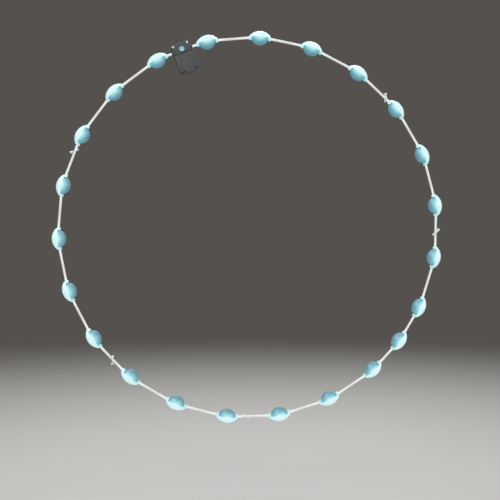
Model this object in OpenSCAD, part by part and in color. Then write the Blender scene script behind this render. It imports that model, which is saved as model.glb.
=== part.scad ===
// Spoke wheel light: a closed string of lamps, tied to the spokes of a bicycle wheel, with a
// small battery case in the string that is clamped to one spoke.
// The origin is on the wheel's axle, in the wheel's middle plane. +Z is up, +X is towards the
// front of the bicycle, and +Y is along the axle, away from the side that the lamps show on.

/* [Wheel] */
// Radius at which the spokes end in the rim
rim_r = 305; // [285:1:320]
// Radius at which the spokes start in the hub flange
flange_r = 20; // [15:1:30]
// Distance of the hub flange from the wheel's middle plane
flange_out = 35; // [25:1:40]
// Diameter of a spoke
spoke_d = 2; // [1.8:0.1:2.3]

/* [Ring] */
// Radius of the ring, from the axle to the cable's line in the middle of a lamp
ring_r = 245; // [232:1:262]
// Angle of the first lamp, anticlockwise from the front of the bicycle
first_lamp = 335; // [300:1:359]
// Number of lamps that follow at the regular pitch, the last lamp of the ring left out
regular_lamps = 22; // [20:1:22]
// Angle of each of the two shorter steps, before and after the last lamp, that close the ring
closing_step = 12; // [11:0.1:14]

/* [Cable] */
// Diameter of the cable
cable_d = 3; // [2.4:0.1:3.4]
// Room round the cable in a bore
cable_fit = 0.05; // [0.02:0.01:0.1]

/* [Lamp] */
// Length of a lamp along the cable
lamp_len = 28; // [25:0.5:31]
// Largest diameter of a lamp's case round the cable
lamp_d = 18.8; // [18:0.2:20]
// Height of a lamp's front over the cable's middle
lamp_crown = 6.3; // [6:0.1:6.8]
// Diameter of a lamp's noses
nose_d = 5.2; // [4.8:0.1:6.2]
// Thickness of the lamp's back between the cable and a spoke
lamp_seat = 0.8; // [0.5:0.1:1.5]
// Length of the lens along the cable, which is also the diameter of its round outline
lens_len = 22; // [20:0.5:23.5]
// Height of the lens's crown over the cable's middle
lens_crown = 6; // [5.4:0.1:6.6]
// Height of the lens's upright edge over the cable's middle
lens_edge = 0.8; // [0.4:0.1:1.4]
// How far the lens reaches from the cable towards the hub
lens_reach = 9; // [7.5:0.1:9.8]
// Distance of the lens's seat from the cable's middle, towards the rim
lens_seat = 1.8; // [1.4:0.1:2.2]
// Wall of the lens
lens_wall = 1.4; // [1:0.1:1.8]
// Room between the lens's ends and the case
lens_fit = 0.1; // [0.05:0.05:0.2]
// Wall of a lamp's nose between the cable's end and the lens
nose_wall = 0.6; // [0.4:0.1:1]

/* [Light source] */
// Length of a lamp's circuit board
strip_len = 13; // [10:0.5:14]
// Width of a lamp's circuit board
strip_w = 4; // [3.6:0.1:4.4]
// Thickness of a lamp's circuit board
strip_t = 1; // [0.6:0.1:1.2]
// Room round a lamp's circuit board
strip_fit = 0.1; // [0.05:0.05:0.2]
// Length and width of the light-emitting diode
chip_w = 3.4; // [2.4:0.1:4]
// Height of the light-emitting diode
chip_t = 1.6; // [0.8:0.1:2]

/* [Cable ties] */
// Width of a tie's strap
strap_w = 1.8; // [1.4:0.1:2.5]
// Thickness of a tie's strap
strap_t = 0.9; // [0.7:0.1:1.2]
// Edge of a tie's head
tie_head = 3.2; // [2.8:0.1:4]
// Length of the tie's cut end beyond its head
tie_tail = 2.6; // [1.5:0.1:5]
// Room between a tie and what it holds
tie_fit = 0.1; // [0.05:0.05:0.2]

/* [Battery case] */
// Number of the span between two lamps that holds the case
case_span = 8; // [5:1:10]
// Width of the case along the cable
case_w = 25; // [24.6:0.2:28]
// Length of the case along the spoke
case_len = 38; // [37:0.5:42]
// How far the case reaches from the cable towards the rim
case_out = 9; // [8.6:0.1:9.6]
// Wall of the case
case_wall = 1.6; // [1.2:0.1:1.9]
// Radius of the case's upright corners
corner_r = 3; // [2:0.2:4]
// Floor of the case over the spoke channel
case_floor = 1.8; // [1.5:0.1:2.4]
// Depth of the spoke channel in the back of the case
channel_deep = 2; // [1.6:0.1:3]
// Width of the spoke channel
channel_w = 14.4; // [13.6:0.2:15.6]
// Wall between the cells and the circuit board
bulkhead = 2; // [1.6:0.1:2.2]
// Wall of a boss round its screw
boss_wall = 1; // [0.8:0.1:1.2]

/* [Spoke clamp] */
// Length of the clamp plate along the spoke
clamp_len = 14; // [10:0.5:16]
// Thickness of the clamp plate
clamp_t = 2.6; // [2:0.1:3.4]
// Gap that is left between the clamp plate and the case
clamp_gap = 0.4; // [0.2:0.1:0.6]
// Room between the clamp plate's sides and the channel
clamp_fit = 0.2; // [0.1:0.05:0.4]
// Distance of a clamp screw from the spoke
clamp_screw_y = 4.6; // [4.2:0.1:4.9]
// Diameter of a clamp screw
clamp_screw_d = 1.9; // [1.6:0.1:2.1]
// Diameter of a clamp screw's head
clamp_head_d = 3.8; // [3.4:0.1:4]
// Height of a clamp screw's head
clamp_head_t = 1.3; // [1:0.1:1.6]

/* [Cells] */
// Diameter of a coin cell
cell_d = 20; // [19:0.1:20.2]
// Thickness of a coin cell
cell_t = 3.2; // [2.5:0.1:3.4]
// Room round the cells
cell_fit = 0.3; // [0.2:0.05:0.4]
// Height of the spring contact under the cells
spring_h = 0.8; // [0.6:0.1:1.2]
// Thickness of the contact metal
contact_t = 0.3; // [0.2:0.05:0.4]
// Diameter of the contact on the door
contact_d = 12; // [8:0.5:16]

/* [Battery door] */
// Thickness of the door
door_t = 1.6; // [1.3:0.1:2.2]
// Thickness of the door's gasket
gasket_t = 0.6; // [0.4:0.1:0.8]
// Width of the gasket
gasket_w = 0.8; // [0.6:0.1:0.8]
// Play between flat faces that meet when the door is shut
shut_gap = 0.1; // [0.05:0.05:0.15]
// Play round the door's edges and between its knuckles
door_gap = 0.2; // [0.15:0.05:0.3]
// Diameter of the hinge pin
pin_d = 1.5; // [1.2:0.1:1.8]
// Running clearance of the door on its pin, on the radius
pin_fit = 0.05; // [0.02:0.01:0.08]
// Outer diameter of the hinge knuckles
knuckle_d = 3.2; // [2.8:0.1:3.4]
// Width of the door's knuckle
knuckle_w = 10.8; // [8:0.2:12]
// Width of each of the case's two knuckles
side_knuckle_w = 2.8; // [2:0.1:3.5]
// Play between the knuckles and the case's end wall
knuckle_gap = 0.3; // [0.2:0.05:0.5]
// Width of a snap tab under the door
tab_w = 2.4; // [1.6:0.1:2.6]
// Thickness of a snap tab
tab_t = 1; // [0.8:0.1:1.2]
// Length of a snap tab below the door
tab_deep = 1.8; // [1.2:0.1:2.4]
// Room round a snap tab
tab_fit = 0.3; // [0.2:0.05:0.4]

/* [Switch and board] */
// Thickness of the control board
board_t = 0.8; // [0.6:0.1:1]
// Room round the control board
board_fit = 0.3; // [0.2:0.1:0.4]
// Diameter of the cover's posts that hold the board down
post_d = 2.2; // [1.6:0.1:2.6]
// Edge of the driver chip
driver_w = 3; // [2.4:0.1:3.4]
// Height of the driver chip
driver_h = 1.2; // [0.8:0.1:1.5]
// Number of resistors
resistor_count = 3; // [1:1:3]
// Length of a resistor
resistor_len = 2; // [1.6:0.1:2.4]
// Width of a resistor
resistor_w = 0.9; // [0.6:0.1:1.1]
// Height of a resistor
resistor_h = 0.6; // [0.4:0.1:0.8]
// Space between the parts on the board
part_space = 0.7; // [0.5:0.1:0.8]
// Edge of the switch body
switch_w = 6; // [5:0.1:6.4]
// Height of the switch body
switch_h = 2.8; // [2.4:0.1:3]
// Diameter of the switch plunger
plunger_d = 3.2; // [2.6:0.1:3.6]
// Travel of the button
button_travel = 0.8; // [0.4:0.1:0.9]
// Diameter of the button
button_d = 7; // [6:0.1:7.4]
// Width of the button's flange under the cover
flange_w = 1.1; // [0.8:0.1:1.2]
// Thickness of the button's flange
flange_t = 0.6; // [0.5:0.1:0.7]
// How far the button stands out of the cover
button_proud = 0.9; // [0.8:0.1:1.4]
// Thickness of the button's seal
seal_t = 0.3; // [0.2:0.1:0.4]
// Play round the button
button_gap = 0.2; // [0.15:0.05:0.3]
// Diameter of a cover screw
cover_screw_d = 1.7; // [1.4:0.1:1.8]
// Diameter of a cover screw's head
cover_head_d = 3.2; // [2.8:0.1:3.4]
// Depth of a cover screw's head in the cover
cover_head_t = 1; // [0.8:0.1:1.3]
// Room round a screw's shank and head
screw_fit = 0.1; // [0.05:0.05:0.15]

/* [Grommets] */
// Diameter of the hole in the case for a grommet
grommet_d = 4.6; // [4.2:0.1:5]
// Diameter of the grommet's collar
collar_d = 6.4; // [5.8:0.1:7]
// Thickness of the grommet's collar
collar_t = 1.4; // [1:0.1:2]

/* [Hidden] */
$fn = 96;
far = 80;
arc_steps = 8;
lean = atan(flange_out / (rim_r - flange_r));
cable_r = cable_d / 2;
spoke_r = spoke_d / 2;
spoke_drop = cable_r + lamp_seat + spoke_r;
back_z = -(cable_r + lamp_seat);

// Places of the lamps and of the straight spans of cable between them
lamp_count = regular_lamps + 1;
lamp_pitch = (360 - 2 * closing_step) / (regular_lamps - 1);
end_r = norm([ring_r, lamp_len / 2]);
end_half = atan(lamp_len / 2 / ring_r);
function lamp_angle(k) =
  first_lamp + min(k, regular_lamps - 1) * lamp_pitch + max(k - regular_lamps + 1, 0) * closing_step;
function span_half(k) = (lamp_angle(k + 1) - lamp_angle(k)) / 2;
function span_mid(k) = lamp_angle(k) + span_half(k);
function chord_r(k) = end_r * cos(span_half(k) - end_half);
function chord_half(k) = end_r * sin(span_half(k) - end_half);
function spoke_lift(r) = flange_out * (rim_r - r) / (rim_r - flange_r);
ring_lift = spoke_lift(chord_r(0)) + spoke_drop / cos(lean);

// Each tie's span, and the place of the spoke that crosses it, as a share of half the span
TIES = [[1, -0.1], [4, -0.73], [11, -0.63], [15, 0.1], [18, -0.52]];
tie_top = cable_r + tie_fit;
tie_low = -(spoke_drop + spoke_r + tie_fit);
tie_in_h = tie_top - tie_low;
tie_in_w = sqrt(2) * cable_d + strap_w + tie_in_h / 3;

// Lamp
cable_in = (lamp_len - lens_len) / 2 - lens_fit - nose_wall;
lens_r = lens_len / 2;
lens_axis = lens_reach - lens_r;
lens_sag = lens_crown - lens_edge;
crown_r = (lens_r * lens_r + lens_sag * lens_sag) / (2 * lens_sag);
front_sag = lamp_crown - nose_d / 2;
front_r = (lamp_len * lamp_len / 4 + front_sag * front_sag) / (2 * front_sag);
strip_z = (lamp_crown + back_z) / 3;

// Battery case, in a frame with its origin on the cable's middle, x to the rim along the spoke,
// y along the cable and z square to the spoke, to the side that the lamps show on
half_w = case_w / 2;
rim_x = case_out;
hub_x = case_out - case_len;
channel_z = -spoke_drop + clamp_gap / 2;
tub_back = channel_z - channel_deep;
floor_z = channel_z + case_floor;
well_r = cell_d / 2 + cell_fit;
cell_x = hub_x + case_wall + well_r;
cell_z = floor_z + spring_h;
cells_top = cell_z + 2 * cell_t;
door_z = cells_top + contact_t + shut_gap;
door_top = door_z + door_t;
wall_top = door_z - gasket_t - shut_gap;
bay_x0 = cell_x + well_r + bulkhead;
bay_x1 = rim_x - case_wall;
bay_half = half_w - case_wall;
seam_x = bay_x0 - bulkhead / 3;
pocket_y = channel_w / 2 + case_wall;

// Hinge
knuckle_r = knuckle_d / 2;
pin_x = hub_x - knuckle_gap - knuckle_r;
pin_z = door_z;
pin_half = knuckle_w / 2 + door_gap + side_knuckle_w;
tab_x = seam_x - tab_t - case_wall;
tab_y = half_w - corner_r;

// Control board and switch
board_z = cable_r + door_gap;
board_top = board_z + board_t;
boss_r = clamp_screw_d / 2 + boss_wall;
clamp_x = (bay_x0 + bay_x1) / 2 - clamp_head_d / 2;
cover_boss_r = cover_screw_d / 2 + boss_wall;
cover_screw_x = bay_x1 - cover_boss_r + case_wall / 4;
cover_screw_y = bay_half - cover_boss_r + case_wall / 4;
board_x0 = bay_x0 + board_fit;
board_x1 = cover_screw_x - cover_boss_r - board_fit;
board_half = bay_half - board_fit;
switch_x = (board_x0 + board_x1) / 2 + board_fit;
switch_top = board_top + switch_h;
flange_z = switch_top + button_travel + shut_gap;
seal_z = flange_z + flange_t + shut_gap;
button_r = button_d / 2;
flange_r_out = button_r + flange_w;
post_r = post_d / 2;
post_y = board_half - post_r - board_fit;

LENSES = [for (k = [1:lamp_count]) str("lamp_lens_", k < 10 ? "0" : "", k)];
TIE_NAMES = [for (k = [1:len(TIES)]) str("spoke_tie_", k)];

// Frame of a point of the ring: x away from the hub, y along the ring, z to the lit side
module at_ring(angle, r) {
  rotate([90, 0, 0]) rotate([0, 0, angle]) translate([r, 0, ring_lift]) children();
}

// Frame of the battery case, tilted to lie along its spoke
module at_case() {
  at_ring(span_mid(case_span), chord_r(case_span)) rotate([0, lean, 0]) children();
}

// A body of revolution about y whose side follows one arc in short cones, widest in the middle
module barrel(length, d, end_d) {
  sag = (d - end_d) / 2;
  arc_r = (length * length / 4 + sag * sag) / (2 * sag);
  step = asin(length / 2 / arc_r) / arc_steps;
  side = [for (i = [-arc_steps:arc_steps]) [d / 2 - arc_r * (1 - cos(i * step)), arc_r * sin(i * step)]];
  rotate([-90, 0, 0]) rotate_extrude()
    polygon(concat([[0, -length / 2]], side, [[0, length / 2]]));
}

// Everything behind the lamp's flat back, which lies along the spokes
module behind(wall = 0) {
  rotate([0, lean, 0]) translate([-far / 2, -far / 2, back_z + wall - far]) cube(far);
}

// A length of cable along y
module cable_rod(from, to, room = 0) {
  translate([0, from - room, 0]) rotate([-90, 0, 0])
    cylinder(h = to - from + 2 * room, r = cable_r + room);
}

// The cable of one span, in one run or, at the case, in two
module span_cable(k, room = 0) {
  reach = chord_half(k) + cable_in;
  at_ring(span_mid(k), chord_r(k))
    if (k == case_span) {
      cable_rod(-reach, -bay_half + case_wall / 2, room);
      cable_rod(bay_half - case_wall / 2, reach, room);
    } else cable_rod(-reach, reach, room);
}

module lamp_case_body() {
  difference() {
    intersection() {
      barrel(lamp_len, lamp_d, nose_d);
      translate([-lens_axis, 0, lamp_crown - front_r]) sphere(front_r);
    }
    translate([lens_seat - far, -lens_len / 2 - lens_fit, -far / 2])
      cube([far, lens_len + 2 * lens_fit, far]);
    translate([-nose_d / 2 - far, -far / 2, -far / 2]) cube(far);
    behind();
    translate([lens_seat - strip_fit, -strip_len / 2 - strip_fit, strip_z - strip_w / 2 - strip_fit])
      cube([strip_t + 2 * strip_fit, strip_len + 2 * strip_fit, strip_w + 2 * strip_fit]);
  }
}

module lamp_cases() {
  color([0.93, 0.97, 1]) for (k = [0:lamp_count - 1]) difference() {
    at_ring(lamp_angle(k), ring_r) lamp_case_body();
    span_cable(k, cable_fit);
    span_cable((k + lamp_count - 1) % lamp_count, cable_fit);
  }
}

// A round dome with an upright edge, at a distance inside the lens's outer faces
module lens_dome(wall = 0) {
  translate([-lens_axis, 0, 0]) intersection() {
    cylinder(h = far, r = lens_r - wall, center = true);
    translate([0, 0, lens_crown - crown_r]) sphere(crown_r - wall);
  }
}

module lamp_lens(k) {
  color([0.35, 0.78, 0.9]) at_ring(lamp_angle(k), ring_r) difference() {
    lens_dome();
    translate([lens_seat, -far / 2, -far / 2]) cube(far);
    behind();
    difference() {
      lens_dome(lens_wall);
      behind(lens_wall);
    }
  }
}

module led_boards() {
  color([0.95, 0.95, 0.9]) for (k = [0:lamp_count - 1]) at_ring(lamp_angle(k), ring_r)
    translate([lens_seat, -strip_len / 2, strip_z - strip_w / 2]) cube([strip_t, strip_len, strip_w]);
}

module led_chips() {
  color([1, 0.95, 0.6]) for (k = [0:lamp_count - 1]) at_ring(lamp_angle(k), ring_r)
    translate([lens_seat - chip_t, -chip_w / 2, strip_z - chip_w / 2]) cube([chip_t, chip_w, chip_w]);
}

module string_cable() {
  color([0.96, 0.97, 0.95]) for (k = [0:lamp_count - 1]) span_cable(k);
}

// A slot shape, w wide and h high, with round ends
module slot2d(w, h) {
  square([w - h, h], center = true);
  for (side = [-1, 1]) translate([side * (w - h) / 2, 0]) circle(d = h);
}

// A loop that crosses the cable and the spoke aslant, with its head beside it
module spoke_tie(k) {
  span = TIES[k][0];
  along = TIES[k][1] * chord_half(span);
  off = atan(along / chord_r(span));
  out_w = tie_in_w + 2 * strap_t;
  out_h = tie_in_h + 2 * strap_t;
  color([0.9, 0.92, 0.92]) at_ring(span_mid(span), chord_r(span))
    translate([0, along, (tie_top + tie_low) / 2]) rotate([0, 0, off + 45])
    difference() {
      union() {
        rotate([90, 0, 0]) linear_extrude(strap_w, center = true) slot2d(out_w, out_h);
        translate([out_w / 2 - strap_t, -tie_head / 2, -tie_head / 2]) cube(tie_head);
        translate([out_w / 2, -strap_w / 2, 0]) cube([strap_t, strap_w, tie_head / 2 + tie_tail]);
      }
      rotate([90, 0, 0]) linear_extrude(2 * tie_head, center = true) slot2d(tie_in_w, tie_in_h);
    }
}

// A plate of the case with round upright corners at the ends that are named
module plate(x0, x1, z0, z1, round_hub = true, round_rim = true) {
  r0 = round_hub ? corner_r : 0;
  r1 = round_rim ? corner_r : 0;
  translate([0, 0, z0]) linear_extrude(z1 - z0) {
    translate([x0 + r0, -half_w]) square([x1 - x0 - r0 - r1, case_w]);
    translate([x0, -half_w + corner_r]) square([x1 - x0, case_w - 2 * corner_r]);
    for (side = [-1, 1]) {
      if (round_hub) translate([x0 + corner_r, side * (half_w - corner_r)]) circle(corner_r);
      if (round_rim) translate([x1 - corner_r, side * (half_w - corner_r)]) circle(corner_r);
    }
  }
}

// One of two alike shapes on both sides of the spoke
module both_sides(y) {
  for (side = [-1, 1]) translate([0, side * y, 0]) children();
}

// The bore that the spoke lies in, as long as the case
module spoke_bore() {
  translate([hub_x - far, 0, -spoke_drop]) rotate([0, 90, 0]) cylinder(h = 3 * far, r = spoke_r);
}

// An upright cylinder from one height to another
module upright(x, y, z0, z1, r) {
  translate([x, y, z0]) cylinder(h = z1 - z0, r = r);
}

// A hinge knuckle about the pin, from y0 over the width w
module knuckle(y0, w) {
  translate([pin_x, y0, pin_z]) rotate([-90, 0, 0]) cylinder(h = w, r = knuckle_r);
}

module pin_bore(room) {
  translate([pin_x, -far / 2, pin_z]) rotate([-90, 0, 0]) cylinder(h = far, r = pin_d / 2 + room);
}

module case_tub() {
  side_y = knuckle_w / 2 + door_gap;
  color([0.16, 0.17, 0.18]) at_case() difference() {
    union() {
      difference() {
        plate(hub_x, rim_x, tub_back, wall_top);
        upright(cell_x, 0, floor_z, door_top, well_r);
        translate([bay_x0, -bay_half, floor_z]) cube([bay_x1 - bay_x0, 2 * bay_half, far]);
        for (y = [-bay_half, pocket_y]) translate([bay_x0, y, tub_back + case_wall])
          cube([bay_x1 - bay_x0, bay_half - pocket_y, far]);
      }
      for (side = [-1, 1]) {
        upright(clamp_x, side * clamp_screw_y, channel_z, board_z, boss_r);
        upright(cover_screw_x, side * cover_screw_y, tub_back, wall_top, cover_boss_r);
      }
      for (y = [-side_y - side_knuckle_w, side_y]) {
        knuckle(y, side_knuckle_w);
        translate([pin_x, y, pin_z - knuckle_r])
          cube([hub_x + case_wall / 2 - pin_x, side_knuckle_w, wall_top - pin_z + knuckle_r]);
      }
    }
    translate([hub_x - far, -channel_w / 2, channel_z - far]) cube([2 * far, channel_w, far]);
    spoke_bore();
    pin_bore(pin_fit / 2);
    for (side = [-1, 1]) {
      upright(clamp_x, side * clamp_screw_y, tub_back, board_z - board_t, clamp_screw_d / 2);
      upright(cover_screw_x, side * cover_screw_y, floor_z, door_top, cover_screw_d / 2);
      translate([0, side * half_w, 0]) rotate([90, 0, 0])
        cylinder(h = 4 * case_wall, d = grommet_d, center = true);
    }
    both_sides(tab_y) translate([tab_x, 0, wall_top - tab_deep])
      cube([tab_t + 2 * tab_fit, tab_w + 2 * tab_fit, 2 * tab_deep], center = true);
  }
}

module case_cover() {
  cover_x = seam_x + door_gap / 2;
  color([0.16, 0.17, 0.18]) at_case() difference() {
    union() {
      plate(cover_x, rim_x, wall_top, door_top, round_hub = false);
      for (side = [-1, 1])
        upright(board_x0 + post_r, side * post_y, board_top, wall_top + door_t / 2, post_r);
    }
    upright(switch_x, 0, seal_z, far, button_r + button_gap);
    upright(switch_x, 0, wall_top - door_t, seal_z + seal_t, flange_r_out + button_gap);
    for (side = [-1, 1]) {
      upright(cover_screw_x, side * cover_screw_y, 0, far, cover_screw_d / 2 + screw_fit);
      upright(cover_screw_x, side * cover_screw_y, door_top - cover_head_t, far,
        cover_head_d / 2 + screw_fit);
    }
  }
}

// A screw along z from its head, with a straight slot, the head on the side that dir gives
module screw(shank_d, shank_len, head_d, head_t, dir) {
  slot_w = head_d / 5;
  mirror([0, 0, dir > 0 ? 0 : 1]) difference() {
    union() {
      translate([0, 0, -shank_len]) cylinder(h = shank_len, d = shank_d);
      cylinder(h = head_t, d = head_d);
    }
    translate([-head_d, -slot_w / 2, head_t / 2]) cube([2 * head_d, slot_w, head_t]);
  }
}

module cover_screws() {
  head_z = door_top - cover_head_t;
  color([0.7, 0.71, 0.72]) at_case() both_sides(cover_screw_y) translate([cover_screw_x, 0, head_z])
    screw(cover_screw_d, head_z - cable_r, cover_head_d, cover_head_t, 1);
}

module spoke_clamp() {
  plate_z = -spoke_drop - clamp_gap / 2 - clamp_t;
  plate_w = channel_w - 2 * clamp_fit;
  color([0.2, 0.21, 0.22]) at_case() difference() {
    translate([clamp_x - clamp_len / 2, -plate_w / 2, plate_z]) cube([clamp_len, plate_w, clamp_t]);
    spoke_bore();
    for (side = [-1, 1])
      upright(clamp_x, side * clamp_screw_y, plate_z - clamp_t, 0, clamp_screw_d / 2 + screw_fit);
  }
}

module clamp_screws() {
  head_z = -spoke_drop - clamp_gap / 2 - clamp_t;
  color([0.7, 0.71, 0.72]) at_case() both_sides(clamp_screw_y) translate([clamp_x, 0, head_z])
    screw(clamp_screw_d, floor_z - head_z, clamp_head_d, clamp_head_t, -1);
}

module cable_grommets() {
  color([0.1, 0.1, 0.11]) at_case() for (side = [-1, 1]) rotate([0, 0, side > 0 ? 0 : 180]) difference() {
    translate([0, half_w, 0]) rotate([-90, 0, 0]) {
      cylinder(h = collar_t, d1 = collar_d, d2 = grommet_d);
      translate([0, 0, -case_wall]) cylinder(h = case_wall, d = grommet_d - 2 * cable_fit);
    }
    cable_rod(0, far, cable_fit);
  }
}

module battery_door() {
  door_x = seam_x - door_gap / 2;
  color([0.16, 0.17, 0.18]) at_case() difference() {
    union() {
      plate(hub_x, door_x, door_z, door_top, round_rim = false);
      knuckle(-knuckle_w / 2, knuckle_w);
      translate([pin_x, -knuckle_w / 2, door_z]) cube([hub_x + corner_r - pin_x, knuckle_w, door_t]);
      both_sides(tab_y) translate([tab_x - tab_t / 2, -tab_w / 2, wall_top - tab_deep + tab_fit])
        cube([tab_t, tab_w, door_z - wall_top + tab_deep - tab_fit]);
    }
    pin_bore(pin_fit);
    // finger notch at the door's free edge
    translate([door_x, 0, door_top]) rotate([90, 0, 0])
      cylinder(h = knuckle_w, r = door_t / 2, center = true);
  }
}

module hinge_pin() {
  color([0.75, 0.76, 0.77]) at_case() translate([pin_x, -pin_half, pin_z]) rotate([-90, 0, 0])
    cylinder(h = 2 * pin_half, d = pin_d);
}

module door_gasket() {
  ring_in = well_r + shut_gap;
  color([0.3, 0.3, 0.32]) at_case() difference() {
    upright(cell_x, 0, wall_top, wall_top + gasket_t, ring_in + gasket_w);
    upright(cell_x, 0, 0, far, ring_in);
  }
}

module door_contact() {
  color([0.8, 0.78, 0.7]) at_case() upright(cell_x, 0, door_z - contact_t, door_z, contact_d / 2);
}

// A coin cell: the can, and the smaller lid below it
module coin_cell(z) {
  rim_t = cell_t / 4;
  color([0.78, 0.79, 0.8]) at_case() {
    upright(cell_x, 0, z + rim_t, z + cell_t, cell_d / 2);
    upright(cell_x, 0, z, z + rim_t, cell_d / 2 - rim_t);
  }
}

// A strip of contact metal on the floor with its middle bent up to the cell
module cell_spring() {
  strip = cell_d / 2;
  rise = spring_h - contact_t - shut_gap;
  color([0.8, 0.78, 0.7]) at_case() translate([cell_x, 0, floor_z]) rotate([90, 0, 0])
    linear_extrude(strip / 2, center = true) polygon([[-strip / 2, 0], [strip / 2, 0],
      [strip / 2, contact_t], [strip / 4, contact_t], [strip / 8, contact_t + rise],
      [-strip / 8, contact_t + rise], [-strip / 4, contact_t], [-strip / 2, contact_t]]);
}

module control_board() {
  color([0.1, 0.35, 0.2]) at_case() translate([board_x0, -board_half, board_z])
    cube([board_x1 - board_x0, 2 * board_half, board_t]);
}

module driver_chip() {
  color([0.08, 0.08, 0.08]) at_case()
    translate([switch_x - driver_w / 2, switch_w / 2 + part_space, board_top])
    cube([driver_w, driver_w, driver_h]);
}

module board_resistors() {
  color([0.2, 0.2, 0.22]) at_case() for (k = [1:resistor_count])
    translate([switch_x - resistor_len / 2, -switch_w / 2 - k * (part_space + resistor_w), board_top])
    cube([resistor_len, resistor_w, resistor_h]);
}

module switch_body() {
  color([0.12, 0.12, 0.13]) at_case() difference() {
    translate([switch_x - switch_w / 2, -switch_w / 2, board_top]) cube([switch_w, switch_w, switch_h]);
    upright(switch_x, 0, board_top + switch_h / 3, far, plunger_d / 2 + button_gap / 2);
  }
}

module switch_plunger() {
  stem_z = board_top + switch_h / 3 + button_travel + shut_gap;
  color([0.85, 0.85, 0.85]) at_case() upright(switch_x, 0, stem_z, flange_z, plunger_d / 2);
}

module button_cap() {
  color([0.45, 0.75, 0.85]) at_case() {
    upright(switch_x, 0, flange_z, flange_z + flange_t, flange_r_out);
    upright(switch_x, 0, flange_z, door_top + button_proud, button_r);
  }
}

module button_seal() {
  color([0.25, 0.25, 0.27]) at_case() difference() {
    upright(switch_x, 0, seal_z, seal_z + seal_t, flange_r_out);
    upright(switch_x, 0, 0, far, button_r + button_gap / 2);
  }
}

for (k = [0:lamp_count - 1]) lamp_lens(k);
for (k = [0:len(TIES) - 1]) spoke_tie(k);
lamp_cases();
led_boards();
led_chips();
string_cable();
case_tub();
case_cover();
cover_screws();
spoke_clamp();
clamp_screws();
cable_grommets();
battery_door();
hinge_pin();
door_gasket();
door_contact();
coin_cell(cell_z);  // coin_cell_1
coin_cell(cell_z + cell_t);  // coin_cell_2
cell_spring();
control_board();
driver_chip();
board_resistors();
switch_body();
switch_plunger();
button_cap();
button_seal();
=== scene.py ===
"""Dresses the spoke wheel light: a ring of lit lamps on a cable, with its ties and battery case.

A piece is modelled in millimetres at the origin, in the frame of the lamp, tie or case that it
belongs to, and is then set in its place on the wheel, in metres.
"""

import logging
import math
from collections.abc import Callable, Sequence
from dataclasses import dataclass, field
from enum import Enum

import bpy
from mathutils import Matrix, Vector


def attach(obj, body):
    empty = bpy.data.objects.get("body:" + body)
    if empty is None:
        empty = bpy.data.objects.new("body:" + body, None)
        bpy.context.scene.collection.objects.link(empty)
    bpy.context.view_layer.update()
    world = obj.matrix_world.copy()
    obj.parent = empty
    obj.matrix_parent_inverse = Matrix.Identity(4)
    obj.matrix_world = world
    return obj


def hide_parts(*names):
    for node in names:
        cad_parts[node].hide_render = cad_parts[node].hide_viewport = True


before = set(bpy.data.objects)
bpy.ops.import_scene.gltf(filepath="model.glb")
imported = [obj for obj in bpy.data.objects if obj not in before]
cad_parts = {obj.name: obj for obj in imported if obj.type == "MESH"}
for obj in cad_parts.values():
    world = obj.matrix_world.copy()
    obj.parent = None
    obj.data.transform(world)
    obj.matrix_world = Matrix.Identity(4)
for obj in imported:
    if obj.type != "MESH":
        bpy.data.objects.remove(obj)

log = logging.getLogger("wheel_light")

# Metres in a millimetre
MM = 0.001
# Places that differ by less than this many millimetres count as one
NEAR = 0.01
# Points that lie closer than this many millimetres are merged
MERGE = 0.002
# Points that lie closer than this many millimetres to a cutting plane are on it
ON_PLANE = 0.0005
# Least part of a face's normal along a direction for the face to look that way
FACING = 0.9
# The same for a face that lies square to the direction
SQUARE = 0.9999

Colour = tuple[float, float, float]
Stops = Sequence[tuple[float, Colour]]


def arc_radius(half: float, height: float) -> float:
    """Gives the radius of an arc from half its width and its height."""
    return (half * half + height * height) / (2 * height)


class Body(Enum):
    """The bodies of the frame that pieces ride on."""

    LIGHT = "light"
    DOOR = "door"
    BUTTON = "button"


class Axis(Enum):
    """The axis that a rod is added along, with the turn that brings it there."""

    X = (0.0, math.pi / 2, 0.0)
    Y = (math.pi / 2, 0.0, 0.0)
    Z = (0.0, 0.0, 0.0)


class Pick(Enum):
    """What a test chooses in edit mode."""

    POINTS = "VERT"
    EDGES = "EDGE"
    FACES = "FACE"


class Join(Enum):
    """How a tool shape changes a piece."""

    CUT = "DIFFERENCE"
    ADD = "UNION"
    KEEP = "INTERSECT"


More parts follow.
